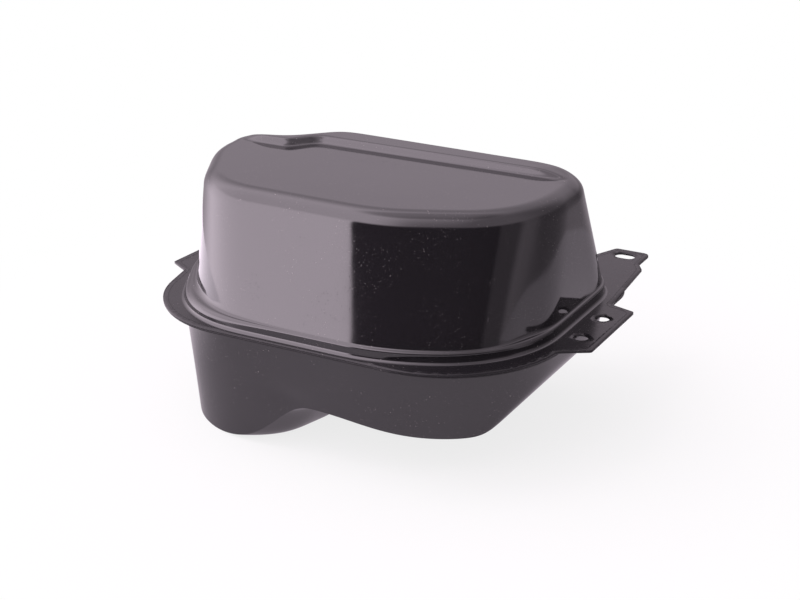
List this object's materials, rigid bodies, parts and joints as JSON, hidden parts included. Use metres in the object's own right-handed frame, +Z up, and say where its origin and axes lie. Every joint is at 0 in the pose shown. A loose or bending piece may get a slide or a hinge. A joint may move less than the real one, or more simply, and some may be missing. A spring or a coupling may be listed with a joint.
{
  "type": "scooter fuel tank",
  "caption": "Pressed-steel scooter fuel tank: deep-drawn halves welded at a flat flange with mounting ears, and a round filler neck.",
  "frame": {"origin": "centre of the bounding box at the level the tank rests on", "axes": "+Z up, away from the filler mouth; +X to the two-hole ear; +Y to the slotted tab and the sloping wall"},
  "size_m": [0.2899, 0.238, 0.16],
  "materials": {
    "black_enamel": "gloss"
  },
  "bodies": {
    "root": {"upper_shell": "black_enamel", "lower_shell": "black_enamel", "filler_neck": "black_enamel", "tap_boss": "black_enamel"}
  },
  "joints": []
}
